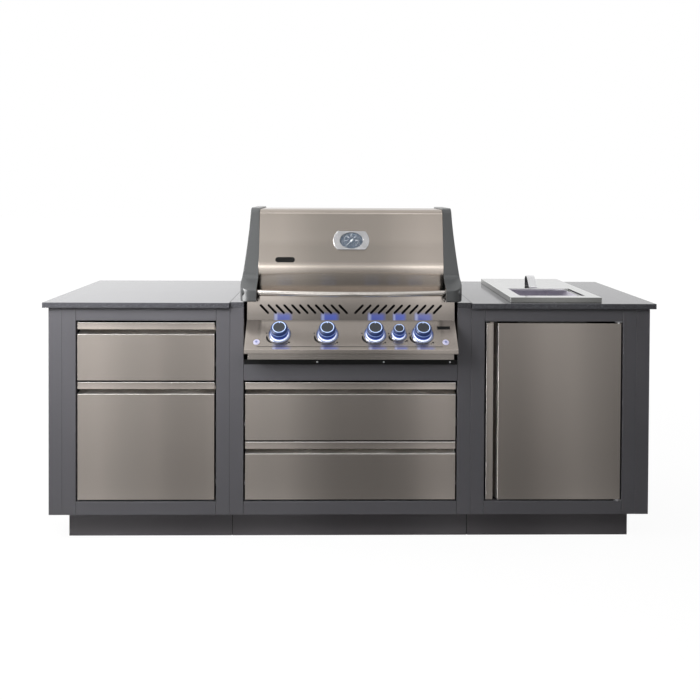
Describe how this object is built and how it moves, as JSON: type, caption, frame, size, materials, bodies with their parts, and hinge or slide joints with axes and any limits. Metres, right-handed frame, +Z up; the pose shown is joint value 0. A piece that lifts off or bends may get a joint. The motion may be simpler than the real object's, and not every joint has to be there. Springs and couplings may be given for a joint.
{
  "type": "outdoor kitchen island",
  "caption": "Outdoor kitchen island: cabinets with drawers and a door, stone worktop, built-in gas grill with lifting hood and knobs, and a drop-in cooler with a sliding lid.",
  "frame": {"origin": "on the floor, under the centre of the island's bounding box", "axes": "+X to the right seen from the front, +Y from the front to the back, +Z up"},
  "size_m": [2.296, 0.7702, 1.268],
  "materials": {
    "frame_paint": "matt dark grey textured powder coat",
    "shell_paint": "matt dark grey powder coat",
    "kick_paint": "matt dark grey powder coat",
    "stone": "polished dark grey granite",
    "brushed_steel": "brushed stainless steel, fine grain",
    "zinc_sheet": "satin zinc-plated sheet",
    "black_iron": "matt black enamel on iron and steel",
    "casting_paint": "satin grey paint on cast aluminium",
    "chrome": "polished",
    "knob_grey": "soft-touch dark grey",
    "lit_ring": "translucent, lit white and blue",
    "dial_face": "dark printed dial under glass",
    "needle_paint": "white enamel",
    "dial_glass": "clear flat glass",
    "print": "dark printed marks",
    "black_gasket": "matt black gaps, gaskets and bumpers"
  },
  "bodies": {
    "island": {"left_kick_plinth": "kick_paint", "centre_kick_plinth": "kick_paint", "right_kick_plinth": "kick_paint", "left_cabinet_shell": "shell_paint", "centre_cabinet_shell": "shell_paint", "right_cabinet_shell": "shell_paint", "left_face_frame": "frame_paint", "centre_face_frame": "frame_paint", "right_face_frame": "frame_paint", "left_end_panel": "frame_paint", "right_end_panel": "frame_paint", "left_worktop": "stone", "centre_worktop": "stone", "right_worktop": "stone", "left_upper_drawer_runners": "zinc_sheet", "left_lower_drawer_runners": "zinc_sheet", "centre_upper_drawer_runners": "zinc_sheet", "centre_lower_drawer_runners": "zinc_sheet", "door_upper_hinge": "zinc_sheet", "door_lower_hinge": "zinc_sheet", "door_catch": "black_iron", "cooler_tub": "brushed_steel", "cooler_drain": "chrome", "firebox": "brushed_steel", "burners": "brushed_steel", "heat_plate": "black_iron", "left_cooking_grid": "black_iron", "right_cooking_grid": "black_iron", "rear_burner": "brushed_steel", "warming_rack": "chrome", "control_panel": "brushed_steel", "gas_manifold": "zinc_sheet", "grill_shelf": "black_iron"},
    "hood": {"hood_skin": "brushed_steel", "hood_left_casting": "casting_paint", "hood_right_casting": "casting_paint", "hood_handle": "brushed_steel", "thermometer_plate": "chrome", "thermometer_dial": "dial_face"},
    "needle": {"thermometer_needle": "needle_paint"},
    "knob_1": {"main_knob_1": "knob_grey"},
    "knob_2": {"main_knob_2": "knob_grey"},
    "knob_3": {"main_knob_3": "knob_grey"},
    "knob_4": {"main_knob_4": "knob_grey"},
    "rear_knob": {"rear_burner_knob": "knob_grey"},
    "light_button": {"left_light_button": "lit_ring"},
    "ignition_button": {"right_ignition_button": "lit_ring"},
    "left_upper_drawer": {"left_upper_drawer_front": "brushed_steel", "left_upper_drawer_box": "zinc_sheet"},
    "left_lower_drawer": {"left_lower_drawer_front": "brushed_steel", "left_lower_drawer_box": "zinc_sheet"},
    "centre_upper_drawer": {"centre_upper_drawer_front": "brushed_steel", "centre_upper_drawer_box": "zinc_sheet"},
    "centre_lower_drawer": {"centre_lower_drawer_front": "brushed_steel", "centre_lower_drawer_box": "zinc_sheet"},
    "door": {"door_front": "brushed_steel", "door_inner_panel": "zinc_sheet"},
    "tray": {"drip_tray": "brushed_steel"},
    "lid": {"cooler_lid": "brushed_steel", "cooler_lid_handle": "brushed_steel"}
  },
  "joints": [
    {"name": "hood_hinge", "type": "hinge", "parent": "island", "child": "hood", "pos_m": [0, 0.21525, 0.985], "axis": [-1, 0, 0], "range_deg": [0, 75]},
    {"name": "needle_turn", "type": "hinge", "parent": "hood", "child": "needle", "pos_m": [0, -0.24717, 1.143], "axis": [0, 0.9796, -0.201], "range_deg": [0, 270], "stiffness_Nm_per_rad": 0.004},
    {"name": "knob_1_turn", "type": "hinge", "parent": "island", "child": "knob_1", "pos_m": [-0.264, -0.33299, 0.80296], "axis": [0, -0.6825, 0.7309], "range_deg": [0, 225]},
    {"name": "knob_2_turn", "type": "hinge", "parent": "island", "child": "knob_2", "pos_m": [-0.088, -0.33299, 0.80296], "axis": [0, -0.6825, 0.7309], "range_deg": [0, 225]},
    {"name": "knob_3_turn", "type": "hinge", "parent": "island", "child": "knob_3", "pos_m": [0.088, -0.33299, 0.80296], "axis": [0, -0.6825, 0.7309], "range_deg": [0, 225]},
    {"name": "knob_4_turn", "type": "hinge", "parent": "island", "child": "knob_4", "pos_m": [0.264, -0.33299, 0.80296], "axis": [0, -0.6825, 0.7309], "range_deg": [0, 225]},
    {"name": "rear_knob_turn", "type": "hinge", "parent": "island", "child": "rear_knob", "pos_m": [0.176, -0.33299, 0.80296], "axis": [0, -0.6825, 0.7309], "range_deg": [0, 225]},
    {"name": "light_button_push", "type": "slide", "parent": "island", "child": "light_button", "axis": [0, 0.6825, -0.7309], "range_m": [0, 0.002], "stiffness_N_per_m": 300},
    {"name": "ignition_button_push", "type": "slide", "parent": "island", "child": "ignition_button", "axis": [0, 0.6825, -0.7309], "range_m": [0, 0.002], "stiffness_N_per_m": 300},
    {"name": "left_upper_drawer_slide", "type": "slide", "parent": "island", "child": "left_upper_drawer", "axis": [0, -1, 0], "range_m": [0, 0.38]},
    {"name": "left_lower_drawer_slide", "type": "slide", "parent": "island", "child": "left_lower_drawer", "axis": [0, -1, 0], "range_m": [0, 0.38]},
    {"name": "centre_upper_drawer_slide", "type": "slide", "parent": "island", "child": "centre_upper_drawer", "axis": [0, -1, 0], "range_m": [0, 0.38]},
    {"name": "centre_lower_drawer_slide", "type": "slide", "parent": "island", "child": "centre_lower_drawer", "axis": [0, -1, 0], "range_m": [0, 0.38]},
    {"name": "door_hinge", "type": "hinge", "parent": "island", "child": "door", "pos_m": [1.015, -0.27825, 0.5], "axis": [0, 0, 1], "range_deg": [0, 105]},
    {"name": "drip_tray_slide", "type": "slide", "parent": "island", "child": "tray", "axis": [0, -1, 0], "range_m": [0, 0.35]},
    {"name": "cooler_lid_slide", "type": "slide", "parent": "island", "child": "lid", "axis": [0, -1, 0], "range_m": [0, 0.215]}
  ]
}
